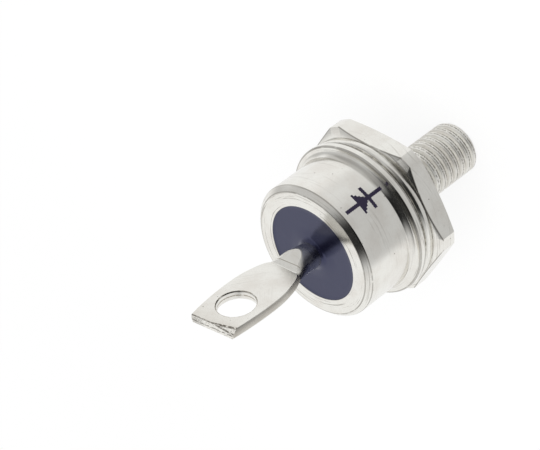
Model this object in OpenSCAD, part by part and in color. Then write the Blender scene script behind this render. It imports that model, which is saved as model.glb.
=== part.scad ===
// Stud-mount rectifier diode: a hexagonal copper base with a threaded stud, a flanged steel case,
// a glass seal and a flattened tube terminal with a lug hole. The axis is Z, the seating face of
// the hexagon is at Z = 0, the stud points down and the terminal points up.

/* [Stud] */
// Outside diameter of the stud's thread
stud_d = 6; // [4:0.1:8]
// Length of the stud below the seating face
stud_length = 11.5; // [8:0.1:18]
// Height of the chamfer at the stud's tip
stud_chamfer = 0.4; // [0.2:0.05:0.8]
// Plain neck between the seating face and the thread
stud_neck = 1; // [0.3:0.1:2.5]
// Pitch of the stud's thread, which is cut as level grooves
thread_pitch = 1; // [0.7:0.05:1.5]
// Width of the thread's flat crests
thread_crest = 0.5; // [0.1:0.05:0.6]

/* [Hexagon] */
// Width across the flats
hex_af = 17.4; // [15:0.1:20]
// Height of the hexagon below the weld ring
hex_height = 2.6; // [2:0.1:5]
// Turn of the hexagon about the axis against the terminal's blade, in degrees
hex_turn = -5; // [-30:1:30]
// How far the turned corners stay inside the full hexagon's corners
corner_trim = 0.4; // [0.1:0.05:0.8]
// How far the flat seating face stays inside the flats
seat_inset = 0.85; // [0:0.05:1.5]
// Slope of the turned chamfer above the flats, in degrees from level
top_slope = 22; // [5:1:30]
// Slope of the turned chamfer below the flats, in degrees from level
seat_slope = 14; // [5:1:30]

/* [Weld ring] */
// Height of the steel ring brazed on the hexagon
ring_height = 0.9; // [0.6:0.1:2]
// Radial width of the ring
ring_width = 2.3; // [1.5:0.1:2.8]
// How far the ring stays inside the flange's rim
ring_setback = 0.15; // [0.05:0.05:0.4]
// Clearance of the ring round the base's spigot
braze_gap = 0.05; // [0.02:0.01:0.1]

/* [Case] */
// How far the flange's rim stands out past the hexagon's flats
rim_overhang = 0.05; // [0:0.05:0.5]
// Height of the case above the weld ring
case_height = 8; // [7:0.1:14]
// Wall thickness round the cavity
case_wall = 1; // [0.6:0.1:1.4]
// How far the flange stands out from the wall
flange_width = 1; // [0.6:0.05:1.6]
// Height of the flange's rim
flange_height = 0.9; // [0.5:0.05:1.5]
// Flat land on the flange between the concave flare and the rim
rim_land = 0.25; // [0.2:0.05:0.5]
// Broken edge of the flange's rim
rim_edge = 0.12; // [0.05:0.01:0.2]
// Height of the weld seam under the flange
seam_height = 0.3; // [0.15:0.05:0.5]
// Depth of the weld seam behind the flange's rim
seam_depth = 0.4; // [0.2:0.05:0.6]
// Bevel between the wall and the top face
top_bevel = 0.55; // [0.2:0.05:1]
// Width of the flat top face round the seal
top_face_width = 1.65; // [0.8:0.05:2.5]

/* [Seal] */
// Height of the glass in the case
seal_height = 2; // [1.2:0.1:2.6]
// How far the glass lies below the top face
seal_recess = 0.05; // [0:0.01:0.2]

/* [Terminal] */
// Diameter of the tube where it passes the seal
tube_d = 2.9; // [2.4:0.1:3.6]
// Bore of the tube
tube_bore = 1.9; // [1.4:0.1:2]
// Length of the tube below the seal
tube_tail = 0.7; // [0.4:0.1:1]
// Length of the terminal above the top face, at the middle of its cut end
terminal_length = 14.5; // [12:0.1:20]
// Length of round neck above the top face
neck_length = 2.1; // [1.5:0.1:3]
// Height above the top face at which the pressed ramps end and the flat blade begins
blade_start = 3.8; // [3:0.1:5]
// Thickness of the flat blade
blade_t = 1; // [0.8:0.05:1.5]
// Width of the blade at its widest
blade_w = 6.2; // [5:0.1:8]
// Sideways offset of the pressed blade from the tube's axis
blade_offset = 0.25; // [0:0.05:0.4]
// Distance of the widest place from the cut end
widest_from_end = 5.5; // [4:0.1:7]
// Radius of the blade's bowed long edges from the widest place to the cut end
edge_bow = 38; // [20:1:60]
// Radius of the blade's bowed long edges below the widest place
shoulder_bow = 18; // [12:1:40]
// Broken corners along the blade's long edges
edge_break = 0.2; // [0.05:0.05:0.4]
// Slope of the pressed ramps, in degrees from the axis
ramp_slope = 23; // [15:1:35]
// Slope of the shoulders that widen from the neck, in degrees from the axis
shoulder_slope = 20; // [12:1:30]
// Skew of the cut end, in degrees
cut_skew = 3; // [0:1:15]
// Diameter of the lug hole
hole_d = 4.1; // [3:0.1:4.5]
// Distance of the hole's centre from the cut end
hole_from_end = 3.6; // [2.6:0.1:5]

/* [Chip stack] */
// Diameter of the silicon chip
die_d = 8.4; // [6:0.1:9]
// Thickness of the silicon chip
die_t = 0.35; // [0.2:0.05:0.5]
// How far the lower disc stands out round the chip
lower_disc_margin = 0.2; // [0.1:0.05:0.4]
// Thickness of the lower disc
lower_disc_t = 0.6; // [0.4:0.05:1]
// How far the upper disc stays inside the chip's edge
upper_disc_inset = 0.5; // [0.3:0.05:1]
// Thickness of the upper disc
upper_disc_t = 0.5; // [0.3:0.05:0.8]
// Thickness of each solder layer
solder_t = 0.1; // [0.05:0.01:0.2]
// Height of the pedestal above the weld ring
pedestal_height = 0.5; // [0.2:0.1:1]
// How far the pedestal stands out round the lower disc
pedestal_margin = 0.3; // [0.1:0.1:0.6]

/* [Inner contact] */
// Diameter of the cup that carries the lead
foot_d = 4.4; // [3.4:0.1:5]
// Height of the cup
foot_height = 1.2; // [0.9:0.1:1.6]
// Thickness of the cup's floor
foot_floor = 0.4; // [0.3:0.05:0.6]
// Clearance of the lead in the tube and in the cup
lead_gap = 0.05; // [0.02:0.01:0.1]

/* [Hidden] */
$fn = 96;
// How far joined shapes sink into each other
overlap = 0.01;
// How far a cutter reaches past the face that it opens
cut_reach = 1;
// Slope of the thread's flanks, in degrees from level
flank_slope = 30;
// Share of a groove's width that its flat root has
root_share = 0.15;
plated = "#c8c7bd";
plated_bright = "#d6d5cc";
glass_blue = "#4c4f63";
copper = "#b8734a";
moly = "#8d9096";
silicon = "#5b6068";
solder_grey = "#a9adb1";
silicone_white = "#e6e4dc";

flat_r = hex_af / 2;
corner_r = hex_af / sqrt(3);
turned_r = corner_r - corner_trim;
seat_r = flat_r - seat_inset;
stud_r = stud_d / 2;
groove_w = thread_pitch - thread_crest;
root_w = groove_w * root_share;
thread_depth = (groove_w - root_w) / 2 / tan(flank_slope);
root_r = stud_r - thread_depth;
thread_turns = floor((stud_length - stud_chamfer - stud_neck) / thread_pitch);

flange_r = flat_r + rim_overhang;
case_r = flange_r - flange_width;
flare_r = flange_width - rim_land;
seam_r = flange_r - seam_depth;
cavity_r = case_r - case_wall;
window_r = case_r - top_bevel - top_face_width;

ring_r = flange_r - ring_setback;
spigot_r = ring_r - ring_width - braze_gap;
ring_top = hex_height + ring_height;
flange_bottom = ring_top + seam_height;
flange_top = flange_bottom + flange_height;
case_top = ring_top + case_height;
seal_bottom = case_top - seal_height;
seal_top = case_top - seal_recess;

tube_r = tube_d / 2;
tube_bottom = seal_bottom - tube_tail;
neck_top = case_top + neck_length;
blade_bottom = case_top + blade_start;
end_z = case_top + terminal_length;
widest_z = end_z - widest_from_end;
hole_z = end_z - hole_from_end;
end_reach = blade_w;
ramp_height = (tube_r - blade_t / 2) / tan(ramp_slope);
ramp_bottom = blade_bottom - ramp_height;
bore_top = min(ramp_bottom, neck_top);

die_r = die_d / 2;
lower_disc_r = die_r + lower_disc_margin;
upper_disc_r = die_r - upper_disc_inset;
pedestal_r = lower_disc_r + pedestal_margin;
pedestal_top = ring_top + pedestal_height;
lower_disc_z = pedestal_top + solder_t;
lower_disc_top = lower_disc_z + lower_disc_t;
die_z = lower_disc_top + solder_t;
die_top = die_z + die_t;
upper_disc_z = die_top + solder_t;
upper_disc_top = upper_disc_z + upper_disc_t;
foot_r = foot_d / 2;
foot_z = upper_disc_top + solder_t;
lead_r = tube_bore / 2 - lead_gap;
lead_bottom = foot_z + foot_floor;

// A disc of radius r from height z up
module disc(r, z, h) {
    translate([0, 0, z]) cylinder(r = r, h = h);
}

// A ring between two radii from height z up
module ring(r_out, r_in, z, h) {
    difference() {
        disc(r_out, z, h);
        disc(r_in, z - cut_reach, h + 2 * cut_reach);
    }
}

// The turned envelope that gives the hexagon its round corners and its two chamfers
module hex_envelope() {
    rotate_extrude()
        polygon([
            [0, 0],
            [seat_r, 0],
            [turned_r, (turned_r - seat_r) * tan(seat_slope)],
            [turned_r, hex_height - (turned_r - ring_r) * tan(top_slope)],
            [ring_r, hex_height],
            [0, hex_height]
        ]);
}

// One groove of the thread, with its upper edge at Z = 0
module thread_groove() {
    rotate_extrude()
        polygon([
            [root_r, -(groove_w + root_w) / 2],
            [stud_r + overlap, -groove_w - overlap * tan(flank_slope)],
            [stud_r + overlap, overlap * tan(flank_slope)],
            [root_r, -(groove_w - root_w) / 2]
        ]);
}

// Stud with a chamfered tip, a plain neck and its thread between them
module stud() {
    difference() {
        union() {
            disc(stud_r, stud_chamfer - stud_length, stud_length - stud_chamfer + overlap);
            translate([0, 0, -stud_length])
                cylinder(r1 = stud_r - stud_chamfer, r2 = stud_r, h = stud_chamfer);
        }
        for (turn = [0 : thread_turns - 1])
            translate([0, 0, -stud_neck - turn * thread_pitch])
                thread_groove();
    }
}

// Hexagon, stud, spigot inside the weld ring and pedestal under the chip, forged as one piece
module base() {
    color(plated) union() {
        intersection() {
            rotate([0, 0, hex_turn]) cylinder(r = corner_r, h = hex_height, $fn = 6);
            hex_envelope();
        }
        disc(spigot_r, hex_height - overlap, ring_height + overlap);
        disc(pedestal_r, ring_top - overlap, pedestal_height + overlap);
        stud();
    }
}

module weld_ring() {
    color(plated_bright) ring(ring_r, ring_r - ring_width, hex_height, ring_height);
}

// Half section of the case: weld foot, rim, flare, wall, bevelled top ring and cavity
module case_section() {
    polygon([
        [cavity_r, ring_top],
        [seam_r, ring_top],
        [seam_r, flange_bottom],
        [flange_r - rim_edge, flange_bottom],
        [flange_r, flange_bottom + rim_edge],
        [flange_r, flange_top - rim_edge],
        [flange_r - rim_edge, flange_top],
        [case_r, flange_top],
        [case_r, case_top - top_bevel],
        [case_r - top_bevel, case_top],
        [window_r, case_top],
        [window_r, seal_bottom],
        [cavity_r, seal_bottom]
    ]);
    difference() {
        translate([case_r - overlap, flange_top - overlap]) square(flare_r + overlap);
        translate([case_r + flare_r, flange_top + flare_r]) circle(r = flare_r);
    }
}

module case() {
    color(plated_bright) rotate_extrude() case_section();
}

module glass_seal() {
    color(glass_blue) ring(window_r, tube_r, seal_bottom, seal_top - seal_bottom);
}

// Disc as thick as the blade whose rim, with broken corners, gives one long edge an arc
module edge_disc(side, bow) {
    translate([blade_offset + side * (blade_w / 2 - bow), 0, widest_z])
        rotate([90, 0, 0])
            rotate_extrude()
                polygon([
                    [0, -blade_t / 2],
                    [bow - edge_break, -blade_t / 2],
                    [bow, edge_break - blade_t / 2],
                    [bow, blade_t / 2 - edge_break],
                    [bow - edge_break, blade_t / 2],
                    [0, blade_t / 2]
                ]);
}

// One long edge: a tighter arc below the widest place and a slacker one above it
module bowed_edge(side) {
    intersection() {
        edge_disc(side, shoulder_bow);
        translate([-blade_w, -blade_t, widest_z - shoulder_bow])
            cube([2 * blade_w, 2 * blade_t, shoulder_bow]);
    }
    intersection() {
        edge_disc(side, edge_bow);
        translate([-blade_w, -blade_t, widest_z - overlap])
            cube([2 * blade_w, 2 * blade_t, end_reach + widest_from_end]);
    }
}

// Blade with bowed long edges, still uncut at both ends
module bowed_blade() {
    intersection() {
        bowed_edge(1);
        bowed_edge(-1);
    }
}

// Cone that widens the round neck into the blade's shoulders
module shoulders() {
    height = end_z + end_reach - neck_top;
    translate([0, 0, neck_top])
        cylinder(r1 = tube_r, r2 = tube_r + height * tan(shoulder_slope), h = height);
}

// Space between the two pressed ramps, seen along X
module ramp_wedge() {
    rotate([90, 0, 90])
        translate([0, 0, -blade_w])
            linear_extrude(2 * blade_w)
                polygon([
                    [-tube_r, tube_bottom],
                    [tube_r, tube_bottom],
                    [tube_r, ramp_bottom],
                    [blade_t / 2, blade_bottom],
                    [-blade_t / 2, blade_bottom],
                    [-tube_r, ramp_bottom]
                ]);
}

// Everything above the skewed cut through the blade's end
module end_cut() {
    translate([0, 0, end_z])
        rotate([0, -cut_skew, 0])
            translate([-end_reach, -end_reach, 0])
                cube([2 * end_reach, 2 * end_reach, 2 * end_reach]);
}

// Tube pressed flat above the seal, drilled for the lug screw
module terminal() {
    color(plated) difference() {
        union() {
            intersection() {
                union() {
                    disc(tube_r, tube_bottom, neck_top - tube_bottom);
                    shoulders();
                }
                ramp_wedge();
            }
            intersection() {
                bowed_blade();
                shoulders();
                translate([-blade_w, -blade_w, blade_bottom - overlap])
                    cube([2 * blade_w, 2 * blade_w, end_z + end_reach - blade_bottom]);
            }
        }
        end_cut();
        translate([blade_offset, 0, hole_z])
            rotate([90, 0, 0])
                cylinder(d = hole_d, h = 2 * blade_t, center = true);
        disc(tube_bore / 2, tube_bottom - cut_reach, bore_top - tube_bottom + cut_reach);
    }
}

module inner_lead() {
    color(copper) disc(lead_r, lead_bottom, bore_top - lead_bottom);
}

module contact_foot() {
    color(copper) difference() {
        disc(foot_r, foot_z, foot_height);
        disc(lead_r + lead_gap, lead_bottom, foot_height);
    }
}

module foot_solder() {
    color(solder_grey) disc(foot_r, upper_disc_top, solder_t);
}

module upper_disc() {
    color(moly) disc(upper_disc_r, upper_disc_z, upper_disc_t);
}

module upper_die_solder() {
    color(solder_grey) disc(upper_disc_r, die_top, solder_t);
}

module silicon_die() {
    color(silicon) disc(die_r, die_z, die_t);
}

module lower_die_solder() {
    color(solder_grey) disc(die_r, lower_disc_top, solder_t);
}

module lower_disc() {
    color(moly) disc(lower_disc_r, lower_disc_z, lower_disc_t);
}

module base_solder() {
    color(solder_grey) disc(lower_disc_r, pedestal_top, solder_t);
}

// Bead on the lower disc's rim that covers the chip's edge and leans on the upper disc
module junction_coating() {
    color(silicone_white) rotate_extrude()
        polygon([
            [die_r, lower_disc_top],
            [lower_disc_r, lower_disc_top],
            [lower_disc_r, die_top],
            [upper_disc_r, upper_disc_z + upper_disc_t / 2],
            [upper_disc_r, die_top],
            [die_r, die_top]
        ]);
}

base();
weld_ring();
case();
glass_seal();
terminal();
inner_lead();
contact_foot();
foot_solder();
upper_disc();
upper_die_solder();
silicon_die();
lower_die_solder();
lower_disc();
base_solder();
junction_coating();
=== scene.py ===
import math

import bmesh
import bpy
from mathutils import Matrix, Vector


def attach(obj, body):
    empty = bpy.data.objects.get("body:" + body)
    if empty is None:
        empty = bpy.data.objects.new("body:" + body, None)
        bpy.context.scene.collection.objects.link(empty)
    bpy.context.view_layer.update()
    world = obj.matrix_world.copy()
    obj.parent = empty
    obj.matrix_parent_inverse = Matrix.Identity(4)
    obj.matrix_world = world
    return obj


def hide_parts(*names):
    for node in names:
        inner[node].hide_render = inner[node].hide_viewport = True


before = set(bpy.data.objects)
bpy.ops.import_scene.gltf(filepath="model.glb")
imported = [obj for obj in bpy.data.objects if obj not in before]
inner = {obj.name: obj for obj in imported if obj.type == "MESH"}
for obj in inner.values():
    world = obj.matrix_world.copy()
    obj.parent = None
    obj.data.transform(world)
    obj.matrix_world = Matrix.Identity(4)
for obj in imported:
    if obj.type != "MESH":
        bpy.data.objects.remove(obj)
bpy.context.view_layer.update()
bpy.ops.object.select_all(action="DESELECT")


# Base: one copper forging with a hexagon for the spanner, a threaded stud below it and a turned
# spigot with the chip's pedestal above it. The chamfers are turned, the thread is rolled, and the
# whole piece is plated with nickel, which lies a little rougher in the thread.
mm = 0.001
hex_af = 17.4
hex_height = 2.6
hex_turn = math.radians(-5)
top_slope = math.tan(math.radians(22))
seat_slope = math.tan(math.radians(14))
turned_r = hex_af / math.sqrt(3) - 0.4
seat_r = 7.85
ring_r = 8.6
ring_top = 3.5
spigot_r = 6.25
pedestal_r = 4.7
pedestal_top = 4.0
stud_r = 3.0
stud_length = 11.5
tip_r = 2.55
collar_r = stud_r - 0.01
collar_length = 0.8
thread_pitch = 1.0
thread_crest = 0.5
thread_crest_r = stud_r - 0.02
thread_root_r = 2.63
thread_bottom = -13
flank_slope = math.tan(math.radians(30))
# Colour of the painted dark reflections along the edges of base and case.
painted_edge_reflection = (0.15, 0.135, 0.11)


def pick(piece, test):
    """Selects the vertices of the piece in edit mode whose place, in mm, passes the test."""
    mesh = bmesh.from_edit_mesh(piece.data)
    for vertex in mesh.verts:
        vertex.select = test(vertex.co / mm)
    mesh.select_flush_mode()
    bmesh.update_edit_mesh(piece.data)


def draw(name, corners):
    """Draws a section in the XZ plane, corner by corner, and rounds the corners that ask for it.
    A corner is (radius, height, rounding) in mm. The piece is left in edit mode."""
    bpy.ops.object.select_all(action="DESELECT")
    bpy.ops.mesh.primitive_plane_add(size=mm)
    piece = bpy.context.object
    piece.name = name
    bpy.ops.object.mode_set(mode="EDIT")
    bpy.ops.mesh.select_all(action="SELECT")
    bpy.ops.mesh.merge(type="CENTER")
    here = Vector((0, 0, 0))
    for i, (radius, height, rounding) in enumerate(corners):
        step = Vector((radius, 0, height)) * mm - here
        if i:
            bpy.ops.mesh.extrude_vertices_move(TRANSFORM_OT_translate={"value": step})
        else:
            bpy.ops.transform.translate(value=step)
        here += step
    for radius, height, rounding in corners:
        if rounding:
            pick(piece, lambda p: (p - Vector((radius, 0, height))).length < 0.002)
            bpy.ops.mesh.bevel(offset=rounding * mm, segments=6, affect="VERTICES", clamp_overlap=False)
    return piece


def turn(name, corners, steps=128):
    """Turns a drawn half section on the lathe, round Z, and closes its seam and poles."""
    piece = draw(name, corners)
    bpy.ops.mesh.select_all(action="SELECT")
    bpy.ops.mesh.spin(steps=steps, angle=math.tau, center=(0, 0, 0), axis=(0, 0, 1))
    bpy.ops.mesh.select_all(action="SELECT")
    bpy.ops.mesh.remove_doubles(threshold=0.0005 * mm)
    bpy.ops.mesh.normals_make_consistent(inside=False)
    bpy.ops.object.mode_set(mode="OBJECT")
    return piece


def trim(point, normal):
    """Cuts the edited mesh off beyond a plane through a point, in mm, and closes the cut."""
    bpy.ops.mesh.select_all(action="SELECT")
    bpy.ops.mesh.bisect(
        plane_co=Vector(point) * mm, plane_no=normal, use_fill=True, clear_outer=True, threshold=1e-7)


def apply(piece, modifier):
    """Applies one modifier to the piece."""
    bpy.context.view_layer.objects.active = piece
    bpy.ops.object.modifier_apply(modifier=modifier.name)


def machine(piece, tool, operation):
    """Cuts, keeps or welds on what the tool covers, and puts the tool away."""
    cut = piece.modifiers.new("cut", "BOOLEAN")
    cut.object = tool
    cut.operation = operation
    cut.solver = "EXACT"
    apply(piece, cut)
    bpy.data.objects.remove(tool, do_unlink=True)


def soften(piece, width, degrees):
    """Breaks the edges of the piece that are sharper than an angle."""
    edges = piece.modifiers.new("soften", "BEVEL")
    edges.width = width * mm
    edges.segments = 2
    edges.limit_method = "ANGLE"
    edges.angle_limit = math.radians(degrees)
    apply(piece, edges)


def smooth(piece, degrees):
    """Shades the piece smooth up to an edge angle, and keeps large faces flat beside small roundings."""
    bpy.ops.object.select_all(action="DESELECT")
    piece.select_set(True)
    bpy.context.view_layer.objects.active = piece
    bpy.ops.object.shade_smooth_by_angle(angle=math.radians(degrees))
    even = piece.modifiers.new("even", "WEIGHTED_NORMAL")
    even.keep_sharp = True
    apply(piece, even)


bpy.ops.mesh.primitive_cylinder_add(
    vertices=6, radius=hex_af / math.sqrt(3) * mm, depth=2 * hex_height * mm,
    location=(0, 0, hex_height / 2 * mm), rotation=(0, 0, math.radians(30) + hex_turn))
base = bpy.context.object
base.name = "plated_base"
bpy.ops.object.transform_apply(location=True, rotation=True, scale=True)
chamfers = turn("chamfers", [
    (0, 0, 0), (seat_r, 0, 0.1), (turned_r, (turned_r - seat_r) * seat_slope, 0.05),
    (turned_r, hex_height - (turned_r - ring_r) * top_slope, 0.05), (ring_r, hex_height, 0.05),
    (0, hex_height, 0)], 240)
machine(base, chamfers, "INTERSECT")
soften(base, 0.06, 24)

flank = (thread_crest_r - thread_root_r) * flank_slope
half_root = (thread_pitch - thread_crest - 2 * flank) / 2
stud = draw("stud", [
    (thread_root_r, thread_bottom, 0),
    (thread_root_r, thread_bottom + half_root, 0.02),
    (thread_crest_r, thread_bottom + half_root + flank, 0.045),
    (thread_crest_r, thread_bottom + half_root + flank + thread_crest, 0.045),
    (thread_root_r, thread_bottom + thread_pitch - half_root, 0.02),
    (thread_root_r, thread_bottom + thread_pitch, 0)])
bpy.ops.object.mode_set(mode="OBJECT")
thread = stud.modifiers.new("thread", "SCREW")
thread.screw_offset = thread_pitch * mm
thread.iterations = 14
thread.steps = thread.render_steps = 64
apply(stud, thread)
bpy.ops.object.mode_set(mode="EDIT")
bpy.ops.mesh.select_all(action="SELECT")
bpy.ops.mesh.remove_doubles(threshold=0.0005 * mm)
trim((0, 0, 0.5), (0, 0, 1))
trim((0, 0, -stud_length - 0.3), (0, 0, -1))
bpy.ops.mesh.select_all(action="SELECT")
bpy.ops.mesh.normals_make_consistent(inside=False)
bpy.ops.object.mode_set(mode="OBJECT")
blank = turn("blank", [
    (0, -stud_length, 0), (tip_r, -stud_length, 0.12), (stud_r, -stud_length + 0.42, 0.12),
    (stud_r, 0.45, 0), (0, 0.45, 0)])
machine(stud, blank, "INTERSECT")
collar = turn("collar", [
    (0, -1.1, 0), (2.5, -1.1, 0), (collar_r, -collar_length, 0.1), (collar_r, 0.4, 0), (0, 0.4, 0)])
machine(stud, collar, "UNION")
machine(base, stud, "UNION")
spigot = turn("spigot", [
    (0, hex_height - 0.1, 0), (spigot_r, hex_height - 0.1, 0), (spigot_r, ring_top, 0.06),
    (pedestal_r, ring_top, 0.06), (pedestal_r, pedestal_top, 0.06), (0, pedestal_top, 0)])
machine(base, spigot, "UNION")
smooth(base, 24)


class Wire:
    """One output in a node tree. Arithmetic on it adds the Math nodes."""

    def __init__(self, tree, socket=None):
        self.tree, self.socket = tree, socket

    def node(self, kind, settings, sockets, out=0):
        """Adds a node: its settings first, then the values or links of its sockets."""
        made = self.tree.nodes.new(kind)
        for name, value in settings.items():
            setattr(made, name, value)
        for name, value in sockets.items():
            if isinstance(value, Wire):
                self.tree.links.new(value.socket, made.inputs[name])
            else:
                made.inputs[name].default_value = value
        return Wire(self.tree, made.outputs[out] if made.outputs else None)

    def part(self, out):
        """Another output of the same node."""
        return Wire(self.tree, self.socket.node.outputs[out])

    def math(self, operation, *others):
        """A Math node with this output as its first value."""
        return self.node("ShaderNodeMath", {"operation": operation}, dict(enumerate((self, *others))))

    def __add__(self, other):
        return self.math("ADD", other)

    def __sub__(self, other):
        return self.math("SUBTRACT", other)

    def __rsub__(self, other):
        return self.node("ShaderNodeMath", {"operation": "SUBTRACT"}, {0: other, 1: self})

    def __mul__(self, other):
        return self.math("MULTIPLY", other)

    def __truediv__(self, other):
        return self.math("DIVIDE", other)

    def __or__(self, other):
        return self.math("MAXIMUM", other)

    def __and__(self, other):
        return self.math("MINIMUM", other)

    def __abs__(self):
        return self.math("ABSOLUTE")

    __radd__ = __add__
    __rmul__ = __mul__

    def span(self, other):
        """The hypotenuse over this side and another."""
        return (self * self + other * other).math("SQRT")

    def fade(self, low, high):
        """0 below low and 1 above high, with a soft step between; the two may be the other way round."""
        if low > high:
            return 1 - self.fade(high, low)
        return self.node("ShaderNodeMapRange", {"interpolation_type": "SMOOTHSTEP"},
                         {"Value": self, "From Min": low, "From Max": high})

    def stretched(self, scale):
        """This place with its three axes scaled."""
        return self.node("ShaderNodeMapping", {"vector_type": "POINT"}, {"Vector": self, "Scale": scale})

    def noise(self, scale, detail=2.0, roughness=0.5):
        """Noise at this place, with a mean near 0.5."""
        return self.node("ShaderNodeTexNoise", {}, {
            "Vector": self, "Scale": scale, "Detail": detail, "Roughness": roughness})

    def tint(self, colour, other):
        """A colour that goes to another colour where this mask is 1."""
        return self.node("ShaderNodeMix", {"data_type": "RGBA"}, {0: self, 6: colour, 7: other}, 2)

    def bump(self, strength, depth):
        """A surface normal for this height, with the depth in mm of a step from 0 to 1."""
        return self.node("ShaderNodeBump", {}, {"Strength": strength, "Distance": depth * mm, "Height": self})


def new_finish(name):
    """An empty material, and the place on the piece in mm that its nodes start from."""
    skin = bpy.data.materials.new(name)
    skin.use_nodes = True
    skin.node_tree.nodes.clear()
    metres = Wire(skin.node_tree).node("ShaderNodeTexCoord", {}, {}, "Object")
    return skin, metres.node("ShaderNodeVectorMath", {"operation": "SCALE"}, {0: metres, "Scale": 1 / mm})


def close_finish(skin, sockets):
    """Puts the surface shader on the material."""
    wire = Wire(skin.node_tree)
    shader = wire.node("ShaderNodeBsdfPrincipled", {}, sockets)
    wire.node("ShaderNodeOutputMaterial", {}, {"Surface": shader})


def axes(place):
    """The three values of a place."""
    x = place.node("ShaderNodeSeparateXYZ", {}, {0: place})
    return x, x.part("Y"), x.part("Z")


def nickel(place, lines):
    """The plating's own look, as sockets of the shader: grain, faint stains, lathe lines and pits."""
    x, y, z = axes(place)
    radius = x.span(y)
    along = place.node("ShaderNodeCombineXYZ", {}, {
        "X": (radius - z * 0.83) * 5.0, "Y": x / (radius + 0.01) * 1.3, "Z": y / (radius + 0.01) * 1.3})
    groove = along.noise(1.0, 3.0, 0.65)
    grain = place.noise(16.0)
    stain = place.noise(0.45, 4.0, 0.6)
    cells = place.node("ShaderNodeTexVoronoi", {}, {"Vector": place, "Scale": 1.15})
    pit = cells.fade(0.10, 0.05) * place.noise(0.8, 1.0).fade(0.52, 0.62)
    colour = stain.fade(0.35, 0.70).tint((0.865, 0.855, 0.81, 1), (0.80, 0.775, 0.725, 1))
    colour = (pit * 0.8 | groove.fade(0.56, 0.70) * 0.6 * lines).tint(colour, (0.20, 0.18, 0.15, 1))
    height = groove * lines + grain * 0.22 - pit * 0.8
    return {"Base Color": colour, "Metallic": 1.0, "Normal": height.bump(1.0, 0.006),
            "Roughness": 0.17 + (stain - 0.5) * 0.16 + (groove - 0.5) * 0.10 * lines + pit * 0.3}


def lay(looks, mask, colour):
    """Lays a colour over a look, as far as the mask says."""
    looks["Base Color"] = mask.tint(looks["Base Color"], (*colour, 1))


base_skin, spot = new_finish("nickel_on_base")
x, y, z = axes(spot)
off_axis = x.span(y)
below_chamfer = hex_height - (off_axis - ring_r) * top_slope - z
looks = nickel(spot, 0.30 + below_chamfer.fade(0.10, 0.04) * z.fade(1.5, 1.7) * 0.70)
inside_flats = hex_af / 2
for flat_angle in (30, 90, 150):
    facing = hex_turn + math.radians(flat_angle)
    inside_flats = hex_af / 2 - abs(x * math.cos(facing) + y * math.sin(facing)) & inside_flats
# Painted reflection: broken thin dark lines along the edges where the top chamfer meets the hexagon's flats.
on_edges = inside_flats.fade(0.12, 0.05) * below_chamfer.fade(0.12, 0.05) * z.fade(1.0, 1.2)
lay(looks, on_edges * spot.noise(1.1, 3.0).fade(0.25, 0.45) * 0.6, painted_edge_reflection)
on_thread = z.fade(0.2 - collar_length, -0.1 - collar_length)
on_thread = on_thread * z.fade(0.15 - stud_length, 0.30 - stud_length)
turns = z / thread_pitch - y.math("ARCTAN2", x) / math.tau
off_crest = turns.math("FRACT") - 0.5
rough = spot.noise(5.0, 3.0, 0.65)
fold = abs(off_crest + (rough - 0.5) * 0.10).fade(0.11, 0.05)
fold = fold * off_axis.fade(thread_crest_r - 0.06, thread_crest_r - 0.03) * rough.fade(0.38, 0.54)
in_groove = off_axis.fade(thread_crest_r - 0.03, thread_crest_r - 0.18) * on_thread
# Painted shade: thin dark lines in the thread's roots, laid together with the real fold line on the rolled
# crests.
painted_root_shade = off_axis.fade(thread_root_r + 0.11, thread_root_r + 0.04) * rough.fade(0.36, 0.52)
lay(looks, (painted_root_shade | fold) * on_thread * 0.75, (0.14, 0.125, 0.095))
lay(looks, rough.fade(0.50, 0.72) * on_thread * 0.35, (0.52, 0.50, 0.43))
looks["Roughness"] = looks["Roughness"] + z.fade(0.0, -0.2) * 0.22 + in_groove * 0.30
looks["Metallic"] = 1 - (on_thread * 0.08 + in_groove * 0.40)
close_finish(base_skin, looks)
base.data.materials.clear()
base.data.materials.append(base_skin)
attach(base, "root")
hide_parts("base")


# Weld ring: a mild steel ring brazed on the hexagon round the spigot, so that the steel case can be
# welded to a copper base. It is turned, and plated together with the rest after the welding.
ring_bore_r = 6.3
ring = turn("plated_weld_ring", [
    (ring_bore_r, hex_height, 0), (ring_r, hex_height, 0.05), (ring_r, ring_top, 0.42),
    (ring_bore_r, ring_top, 0), (ring_bore_r, hex_height, 0)])
smooth(ring, 26)
ring_skin, spot = new_finish("nickel_on_weld_ring")
looks = nickel(spot, 1.0)
level = axes(spot)[2]
joints = level.fade(hex_height + 0.18, hex_height + 0.02) | level.fade(ring_top - 0.14, ring_top - 0.02)
lay(looks, joints * spot.noise(1.6, 3.0).fade(0.3, 0.6) * 0.7, (0.14, 0.13, 0.115))
close_finish(ring_skin, looks)
ring.data.materials.append(ring_skin)
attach(ring, "root")
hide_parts("weld_ring")


# Chip stack: ten pieces inside the case, soldered on the pedestal from below: two molybdenum discs
# that expand as little as silicon does, the chip between them with a silicone bead on its edge, and
# a copper cup with the lead that is squeezed into the terminal's tube. They keep the frame's solids.
solder_skin, spot = new_finish("solder")
frost = spot.noise(2.2, 4.0, 0.6)
close_finish(solder_skin, {
    "Base Color": frost.fade(0.3, 0.7).tint((0.55, 0.56, 0.58, 1), (0.36, 0.37, 0.39, 1)),
    "Metallic": 1.0, "Roughness": 0.30 + frost * 0.25, "Normal": frost.bump(0.6, 0.01)})
moly_skin, spot = new_finish("lapped_molybdenum")
lap = spot.node("ShaderNodeTexWave", {"wave_type": "RINGS", "rings_direction": "Z"}, {
    "Vector": spot, "Scale": 3.0, "Distortion": 5.0, "Detail": 3.0, "Detail Scale": 2.0}, 1)
close_finish(moly_skin, {
    "Base Color": lap.tint((0.40, 0.41, 0.43, 1), (0.31, 0.32, 0.34, 1)),
    "Metallic": 1.0, "Roughness": 0.32 + lap * 0.12})
silicon_skin, spot = new_finish("silicon")
etch = spot.noise(1.4, 3.0)
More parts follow.
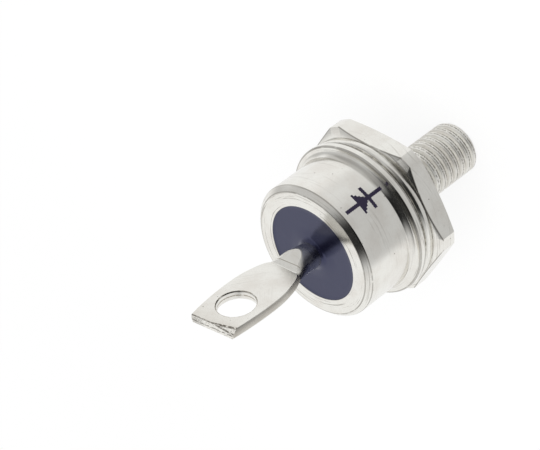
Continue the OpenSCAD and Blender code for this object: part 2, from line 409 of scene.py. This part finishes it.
close_finish(silicon_skin, {
    "Base Color": etch.tint((0.10, 0.11, 0.13, 1), (0.16, 0.17, 0.20, 1)),
    "Metallic": 0.6, "Roughness": 0.16 + etch * 0.18})
silicone_skin, spot = new_finish("silicone_bead")
cloud = spot.noise(0.9, 3.0)
close_finish(silicone_skin, {
    "Base Color": cloud.tint((0.80, 0.79, 0.74, 1), (0.68, 0.67, 0.61, 1)),
    "Roughness": 0.28 + cloud * 0.15})
copper_skin, spot = new_finish("drawn_copper")
drawn = spot.stretched((9.0, 9.0, 0.5)).noise(1.0, 3.0)
tarnish = spot.noise(0.7, 4.0).fade(0.35, 0.7)
close_finish(copper_skin, {
    "Base Color": tarnish.tint((0.80, 0.42, 0.27, 1), (0.52, 0.25, 0.15, 1)),
    "Metallic": 1.0, "Roughness": 0.24 + drawn * 0.2, "Normal": drawn.bump(0.5, 0.006)})
for skin, names in (
        (solder_skin, ("base_solder", "lower_die_solder", "upper_die_solder", "foot_solder")),
        (moly_skin, ("lower_disc", "upper_disc")),
        (silicon_skin, ("silicon_die",)),
        (silicone_skin, ("junction_coating",)),
        (copper_skin, ("contact_foot", "inner_lead"))):
    for name in names:
        inner[name].data.materials.clear()
        inner[name].data.materials.append(skin)


# Case: a steel can turned from bar, with a flange that flares out of the wall and is welded to the
# ring below it, and a bevelled top ring round the seal. It is nickel plated, shows the lathe's fine
# lines on bevel and flange, and carries a diode symbol in dotted ink that points to the stud.
case_r = 7.75
case_top = 11.5
bevel = 0.55
bevel_bottom = case_top - bevel
cavity_r = 6.75
window_r = 5.55
seal_bottom = 9.5
seam_r = 8.35
seam_top = 3.8
rim_r = 8.745
rim_edge_r = 8.63
rim_bottom, rim_top = 3.92, 4.58
flange_top = 4.7
case = turn("plated_case", [
    (cavity_r, ring_top, 0), (seam_r, ring_top, 0.05), (seam_r, seam_top, 0), (rim_edge_r, seam_top, 0.03),
    (rim_r, rim_bottom, 0.05), (rim_r, rim_top, 0.05), (rim_edge_r, flange_top, 0.05),
    (case_r, flange_top, 0.75), (case_r, bevel_bottom, 0.10), (case_r - bevel, case_top, 0.10),
    (window_r, case_top, 0.05), (window_r, seal_bottom, 0.0), (cavity_r, seal_bottom, 0.1),
    (cavity_r, ring_top, 0)], 192)
smooth(case, 26)
case_skin, spot = new_finish("nickel_on_case")
x, y, z = axes(spot)
off_axis = x.span(y)
turned = z.fade(bevel_bottom - 0.05, bevel_bottom + 0.05) | z.fade(flange_top + 0.8, flange_top + 0.6)
looks = nickel(spot, 0.25 + turned * 0.75)
foot = z.fade(seam_top + 0.15, seam_top - 0.05)
lay(looks, foot * spot.noise(1.6, 3.0).fade(0.3, 0.6) * 0.3, (0.17, 0.155, 0.135))
# Painted reflection: broken thin dark lines along the turned edges of bevel, wall and flange rim.
on_edges = 0.0
for edge_r, edge_height in (
        (case_r - bevel, case_top), (case_r, bevel_bottom), (rim_edge_r, flange_top),
        (rim_r, rim_top), (rim_r, rim_bottom)):
    out, up = off_axis - edge_r, z - edge_height
    on_edges = (out * out + up * up).fade(0.010, 0.003) | on_edges
lay(looks, on_edges * spot.noise(1.1, 3.0).fade(0.22, 0.45) * 0.5, painted_edge_reflection)
# Painted shade: one side of the flare is darkened in its hollow band at the foot of the wall.
painted_shade_angle = math.radians(262)
painted_flare_shade = (x * math.cos(painted_shade_angle) + y * math.sin(painted_shade_angle) - off_axis * 0.84).fade(0.0, 0.7)
painted_flare_shade = painted_flare_shade * z.fade(flange_top + 0.1, flange_top + 0.3) * z.fade(flange_top + 1.05, flange_top + 0.7)
lay(looks, painted_flare_shade * 0.45, (0.20, 0.185, 0.16))

symbol_angle = math.radians(233.5)
symbol_height = 7.05
drop = 0.27
across = (y * math.cos(symbol_angle) - x * math.sin(symbol_angle)) / drop
facing = (x * math.cos(symbol_angle) + y * math.sin(symbol_angle)).fade(4.0, 5.0)
above = (z - symbol_height) / drop
row, column = above.math("ROUND"), across.math("ROUND")
step_across, step_above = across - column, above - row
axis_line = (across * across + step_above * step_above).fade(0.82, 0.60)
axis_line = axis_line * above.fade(-7.1, -7.0) * above.fade(12.3, 12.2)
bar = (above * above + step_across * step_across).fade(0.82, 0.60) * abs(across).fade(5.0, 4.9)
drops = (step_across * step_across + step_above * step_above).fade(0.60, 0.42)
arrow = (abs(column) - row * 0.82).fade(0.3, 0.1) * row.fade(0.4, 0.6) * row.fade(5.6, 5.4) * drops
arrow = arrow | (abs(across) - above * 0.82).fade(0.15, -0.25) * above.fade(0.2, 0.4) * above.fade(5.3, 5.1)
ink = (axis_line | bar | arrow) * facing * spot.noise(7.0).fade(0.16, 0.30)
ink = ink * z.fade(flange_top + 0.3, flange_top + 0.4)
lay(looks, ink, (0.016, 0.012, 0.030))
looks["Specular IOR Level"] = 0.2
looks["Metallic"] = 1 - ink
looks["Roughness"] = looks["Roughness"] * (1 - ink) + ink * 0.55
close_finish(case_skin, looks)
case.data.materials.append(case_skin)
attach(case, "root")
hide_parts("case")


# Glass seal: slate blue glass fused into the case's window, round the terminal's tube. It creeps a
# little way up the tube and meets the window in a thin dark line, and its skin is smooth but not flat.
tube_r = 1.45
glass_top = 11.45
seal = turn("glass_seal_bead", [
    (tube_r, seal_bottom, 0), (window_r, seal_bottom, 0), (window_r, glass_top, 0.03),
    (window_r - 0.3, glass_top - 0.04, 0.2), (2 * tube_r, glass_top - 0.05, 0.3),
    (tube_r + 0.4, glass_top + 0.03, 0.2), (tube_r, glass_top + 0.27, 0), (tube_r, seal_bottom, 0)], 160)
smooth(seal, 40)
seal_skin, spot = new_finish("blue_glass")
x, y, z = axes(spot)
haze = spot.noise(0.8, 3.0)
blue = haze.tint((0.003, 0.003, 0.009, 1), (0.006, 0.006, 0.015, 1))
border = x.span(y).fade(window_r - 0.15, window_r - 0.02)
waves = spot.noise(0.9) + spot.noise(14.0) * 0.04
close_finish(seal_skin, {
    "Base Color": (border * 0.8).tint(blue, (0.002, 0.002, 0.004, 1)), "Roughness": 0.13 + haze * 0.10,
    "IOR": 1.85, "Specular Tint": (0.53, 0.57, 1.0, 1), "Normal": waves.bump(0.5, 0.02)})
seal.data.materials.append(seal_skin)
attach(seal, "root")
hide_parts("glass_seal")


# Terminal: a nickel plated copper tube that passes through the glass and is pressed flat above it,
# on the copper lead inside. The pressing leaves two ramps, bowed edges and a shoulder, the end is
# sheared off a little askew, and a hole for the lug's screw is punched through the blade.
tube_bottom = 8.8
tube_bore_r = 0.95
bore_top = 13.06
jaws_bottom, jaws_top = 8.0, 28.0
ramp_bottom = 12.7
half_ramp = 1.6
press_bottom = 13.6
crease = 14.65
half_crease = 0.80
ramp_slope = (half_ramp - half_crease) / (crease - ramp_bottom)
blade_bottom = 15.3
half_blade = 0.5
widest_height = 20.5
half_width = 3.22
shoulder_slope = 0.31
shoulder_bottom = 12.75
hole_x, hole_height = 0.25, 22.4
hole_r, hole_rim_r = 2.05, 2.13
end_height = 25.998
end_skew = math.radians(3)
rolled_point = Vector((0.37, -half_blade, 26.02))
rolled_normal = Vector((-0.157, -0.82, 0.55))
rolled_level = rolled_point.dot(rolled_normal)


def blade_side(height, side):
    """How far the terminal reaches to side -1 or 1 at this height: neck, shoulder, then bowed edge."""
    shoulder = tube_r + shoulder_slope * max(0.0, height - (shoulder_bottom - 0.85 * side))
    bow_r = 18 if height < widest_height else 34 - 4 * side
    rise = max(height, blade_bottom) - widest_height
    edge = half_width + side * 0.29 - (bow_r - math.sqrt(bow_r ** 2 - rise ** 2))
    soft = 0.08
    return shoulder - soft * math.log1p(math.exp((shoulder - edge) / soft))


stations = [tube_bottom, 11.0, 11.8, 12.2, 12.6, 13.0, 13.3, press_bottom]
stations += [press_bottom + 0.25 * i for i in range(1, 25)]
stations += [20.2 + 0.7 * i for i in range(8)] + [27.5]
rings = []
for height in stations:
    left, right = blade_side(height, -1), blade_side(height, 1)
    pressed = min(blade_bottom, max(press_bottom, height)) - press_bottom
    squared = min(1.1, max(0.0, height - blade_bottom))
    rings.append((height, (left + right) / 2, (right - left) / 2, tube_r - 0.42 * pressed + squared))

bpy.ops.object.select_all(action="DESELECT")
bpy.ops.mesh.primitive_circle_add(vertices=96, radius=tube_r * mm, location=(0, 0, tube_bottom * mm))
terminal = bpy.context.object
terminal.name = "pressed_terminal"
bpy.ops.object.transform_apply(location=True, rotation=True, scale=True)
bpy.ops.object.mode_set(mode="EDIT")
bpy.ops.mesh.select_all(action="SELECT")
for (height, half, middle, depth), (height_up, half_up, middle_up, depth_up) in zip(rings, rings[1:]):
    bpy.ops.mesh.extrude_region_move(TRANSFORM_OT_translate={
        "value": ((middle_up - middle) * mm, 0, (height_up - height) * mm)})
    bpy.ops.transform.resize(
        value=(half_up / half, depth_up / depth, 1), center_override=(middle_up * mm, 0, height_up * mm))
pick(terminal, lambda p: p.z < tube_bottom + 0.02)
bpy.ops.mesh.edge_face_add()
trim((0, 0, end_height), (-math.sin(end_skew), 0, math.cos(end_skew)))
trim(rolled_point, rolled_normal)
bpy.ops.mesh.select_all(action="SELECT")
bpy.ops.mesh.normals_make_consistent(inside=False)
bpy.ops.object.mode_set(mode="OBJECT")

half_jaws = [
    (half_ramp, jaws_bottom, 0), (half_ramp, ramp_bottom, 0.5), (half_crease, crease, 0.05),
    (half_blade, blade_bottom, 0.1), (half_blade, jaws_top, 0)]
jaws = draw("jaws", half_jaws + [(-half, height, rounding) for half, height, rounding in reversed(half_jaws)])
bpy.ops.mesh.select_all(action="SELECT")
bpy.ops.mesh.edge_face_add()
bpy.ops.mesh.extrude_region_move(TRANSFORM_OT_translate={"value": (0, 8 * mm, 0)})
bpy.ops.mesh.select_all(action="SELECT")
bpy.ops.transform.translate(value=(0, -4 * mm, 0))
bpy.ops.transform.rotate(value=math.radians(90), orient_axis="Z", center_override=(0, 0, 0))
bpy.ops.mesh.normals_make_consistent(inside=False)
bpy.ops.object.mode_set(mode="OBJECT")
machine(terminal, jaws, "INTERSECT")

punch = turn("punch", [
    (0, -1.0, 0), (2.40, -1.0, 0), (hole_rim_r, -half_blade, 0.05), (hole_r, -0.40, 0.05),
    (hole_r, 0.40, 0.05), (hole_rim_r, half_blade, 0.05), (2.40, 1.0, 0), (0, 1.0, 0)], 96)
bpy.ops.object.mode_set(mode="EDIT")
bpy.ops.mesh.select_all(action="SELECT")
bpy.ops.transform.rotate(value=math.radians(90), orient_axis="X", center_override=(0, 0, 0))
bpy.ops.transform.translate(value=(hole_x * mm, 0, hole_height * mm))
bpy.ops.object.mode_set(mode="OBJECT")
machine(terminal, punch, "DIFFERENCE")
bore = turn("bore", [
    (0, jaws_bottom, 0), (tube_bore_r, jaws_bottom, 0), (tube_bore_r, bore_top, 0), (0, bore_top, 0)], 64)
machine(terminal, bore, "DIFFERENCE")
soften(terminal, 0.09, 35)
smooth(terminal, 19)

terminal_skin, spot = new_finish("nickel_on_terminal")
looks = nickel(spot, 0.15)
x, y, z = axes(spot)
flat = abs(y).fade(half_blade - 0.10, half_blade - 0.02)
from_hole = (x - hole_x).span(z - hole_height)
in_hole = from_hole.fade(hole_rim_r + 0.07, hole_rim_r + 0.01)
sheared = (z - x * math.tan(end_skew)).fade(end_height - 0.12, end_height - 0.05)
rolled = x * rolled_normal.x + y * rolled_normal.y + z * rolled_normal.z
cut_end = sheared | rolled.fade(rolled_level - 0.063, rolled_level - 0.023)
on_edge = (1 - flat) * z.fade(blade_bottom - 0.1, blade_bottom + 0.3) * (1 - in_hole) * (1 - cut_end)
streaks = spot.stretched((5.0, 5.0, 0.7)).noise(1.0, 3.0)
torn = spot.stretched((2.2, 6.0, 6.0)).noise(1.0, 3.0, 0.7)
seam = abs(y).fade(0.11, 0.04) * in_hole * torn.fade(0.35, 0.50)
# Painted shadow: a broken dark line round the rim of the punched hole.
hole_rim_shadow = abs(from_hole - hole_rim_r).fade(0.07, 0.03) * torn.fade(0.42, 0.55)
# A dark line along the bend between the front ramp and the blade.
crease_line = abs(z - crease - x * 0.03).fade(0.07, 0.02) * (0 - y).fade(half_blade + 0.1, half_blade + 0.2)
lay(looks, on_edge * (0.20 + streaks * 0.4) | (seam | hole_rim_shadow) * 0.8 | crease_line * 0.6, (0.30, 0.26, 0.20))
stained = (z + spot.noise(0.9, 3.0)).fade(end_height - 2.4, end_height + 0.4)
lay(looks, flat * stained * 0.22, (0.50, 0.44, 0.36))
fold = abs(y + x * 0.157 + 0.442).fade(0.10, 0.05) * x.fade(0.6, 0.2) * torn.fade(0.36, 0.50)
tear = abs(y + torn * 0.4 - 0.36).fade(0.10, 0.04) * (torn + x.fade(0.0, 2.0) * 0.08).fade(0.46, 0.56)
lip = y.fade(0.14 - half_blade, 0.07 - half_blade) * torn.fade(0.40, 0.52)
grit = (spot.noise(8.0, 3.0, 0.7) + x.fade(0.8, 2.4) * 0.10).fade(0.50, 0.64)
lay(looks, cut_end * ((fold | tear | lip) * 0.9 | grit * 0.6), (0.10, 0.085, 0.065))
on_ramp = (abs(y) + (z - crease) * ramp_slope).fade(half_crease - 0.087, half_crease - 0.027)
heated = (z + x * 0.25 + spot.noise(2.5, 3.0) * 0.5).fade(14.3, 13.3) * (1 - on_ramp)
lay(looks, heated * 0.55, (0.36, 0.40, 0.56))
# The tube is darkened just above the glass: oxide from the sealing heat, together with painted shade under
# the ramps.
neck = (z + spot.noise(4.0, 3.0) * 0.4).fade(glass_top + 1.05, glass_top + 0.45)
lay(looks, neck * 0.6, (0.16, 0.16, 0.20))
pressed_face = z.fade(ramp_bottom - 0.3, ramp_bottom + 0.1) * z.fade(blade_bottom + 0.2, blade_bottom - 0.1)
pressed_face = pressed_face * abs(y).fade(half_blade, half_blade + 0.1)
looks["Metallic"] = 1 - cut_end * 0.45
looks["Roughness"] = looks["Roughness"] + on_edge * 0.28 + cut_end * 0.35 + pressed_face * 0.15 + 0.05
close_finish(terminal_skin, looks)
terminal.data.materials.append(terminal_skin)
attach(terminal, "root")
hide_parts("terminal")


# Studio: a pale table under the stud's tip, a white light tent all round with a greyer front and
# the dark slit that the lens looks through, one large soft lamp above, and the camera.
bpy.ops.object.select_all(action="DESELECT")
bpy.ops.mesh.primitive_plane_add(size=3.0, location=(0, 0, -stud_length * mm))
table = bpy.context.object
table.name = "table"
table_skin = bpy.data.materials.new("table_top")
table_skin.use_nodes = True
table_skin.node_tree.nodes.clear()
wire = Wire(table_skin.node_tree)
seen = wire.node("ShaderNodeLightPath", {}, {}, "Is Camera Ray")
seen = seen | seen.part("Is Glossy Ray") | seen.part("Is Transmission Ray")
table_spot = wire.node("ShaderNodeTexCoord", {}, {}, "Object")
away = table_spot.node("ShaderNodeVectorMath", {"operation": "LENGTH"}, {0: table_spot}, "Value")
glow = seen * (0.8 + away.fade(0.04, 0.12) * 0.2)
matt = wire.node("ShaderNodeBsdfDiffuse", {}, {"Color": (0.88, 0.88, 0.88, 1)})
white = wire.node("ShaderNodeEmission", {}, {"Color": (1, 1, 1, 1), "Strength": 1.0})
top = wire.node("ShaderNodeMixShader", {}, {0: glow, 1: matt, 2: white})
wire.node("ShaderNodeOutputMaterial", {}, {"Surface": top})
table.data.materials.append(table_skin)
table.visible_glossy = False

world = bpy.data.worlds.new("light_tent")
bpy.context.scene.world = world
world.use_nodes = True
world.node_tree.nodes.clear()
wire = Wire(world.node_tree)
ray = wire.node("ShaderNodeTexCoord", {}, {}, "Generated")


def toward(direction):
    """How much a ray of the tent points this way, from -1 to 1."""
    return ray.node("ShaderNodeVectorMath", {"operation": "DOT_PRODUCT"}, {0: ray, 1: direction}, "Value")


low = toward((-0.327, 0.804, 0.497))
back = toward((0.611, 0.581, -0.537))
height = toward((0.0, 0.0, 1.0))
lens_side = toward((0.545, -0.839, 0.0))
lens_front = toward((-0.839, -0.545, 0.0))
bright = low.fade(0.22, 0.46) | back.fade(0.50, 0.75)
bright = bright | back.fade(0.0, 0.20) * (low.fade(0.0, 0.16) | (0 - low).fade(0.28, 0.55))
grey = 0.60 + (0 - low).fade(0.68, 1.0) * 0.20
slit_across = abs(lens_side + 0.12) / (0.60 - height * 0.13)
slit_along = height.math("ARCTAN2", lens_front)
slit = slit_across.fade(1.55, 0.45) * slit_along.fade(-0.46, -0.34) * slit_along.fade(1.80, 1.62)
tent = (grey + (0.95 - grey) * bright) * (1 - slit * 0.98)
seen = wire.node("ShaderNodeLightPath", {}, {}, "Is Camera Ray")
mirrored = seen.part("Is Glossy Ray")
shown = seen | seen.part("Is Transmission Ray")
strength = shown | (1 - mirrored) * 0.85 | mirrored * tent
sky = wire.node("ShaderNodeBackground", {}, {"Color": (1, 1, 1, 1), "Strength": strength})
wire.node("ShaderNodeOutputWorld", {}, {"Surface": sky})

bpy.ops.object.light_add(type="AREA", location=(-0.22, -0.20, 0.30))
lamp = bpy.context.object
lamp.name = "soft_box"
lamp.data.shape = "DISK"
lamp.data.size = 0.30
lamp.data.energy = 1.2
lamp.rotation_euler = (Vector((0, 0, 0.007)) - lamp.location).to_track_quat("-Z", "Y").to_euler()
lamp.visible_glossy = False

bpy.ops.object.camera_add()
camera = bpy.context.object
camera.name = "camera"
image_width = 540
focal_pixels = 2551.4
right = Vector((-0.72040, 0.12798, -0.68165))
up = Vector((0.32737, -0.80372, -0.49687))
view = Vector((0.61144, 0.58109, -0.53710))
stand = Vector((-155.04, -154.09, 152.73)) * mm
camera.matrix_world = Matrix.Translation(stand) @ Matrix((right, up, -view)).transposed().to_4x4()
camera.data.sensor_width = 36.0
camera.data.lens = focal_pixels / image_width * camera.data.sensor_width
camera.data.clip_start = 0.01
camera.data.clip_end = 10.0
bpy.context.scene.camera = camera
bpy.context.scene.view_settings.view_transform = "Standard"
